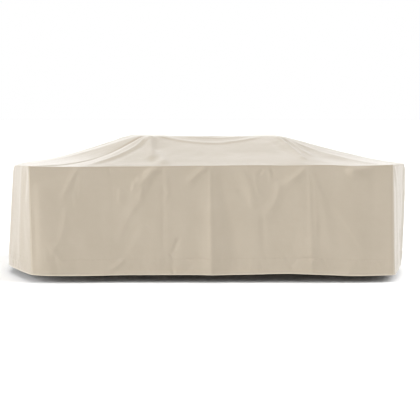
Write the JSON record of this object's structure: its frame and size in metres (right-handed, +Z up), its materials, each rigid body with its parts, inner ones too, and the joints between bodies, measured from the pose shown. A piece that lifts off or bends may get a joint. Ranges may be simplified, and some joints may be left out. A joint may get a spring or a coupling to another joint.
{
  "type": "patio dining set cover",
  "caption": "Fitted canvas cover for a patio dining set: top raised to a low crown, skirts hanging at front, back and ends, deep stitched hem, hollow and open underneath.",
  "frame": {"origin": "on the underside of the cloth at the middle of the crown, where what is covered holds the cover up", "axes": "+X along the front from left to right, +Y from the front skirt to the back skirt, +Z up; the hem lies about 1.06 m below the origin and the ground about 1.12 m"},
  "size_m": [3.2893, 2.1341, 1.079],
  "materials": {
    "canvas": "matt, coated polyester canvas in a warm beige, with packing creases"
  },
  "bodies": {
    "root": {"top": "canvas", "skirt_front": "canvas", "skirt_right": "canvas", "skirt_back": "canvas", "skirt_left": "canvas"}
  },
  "joints": []
}
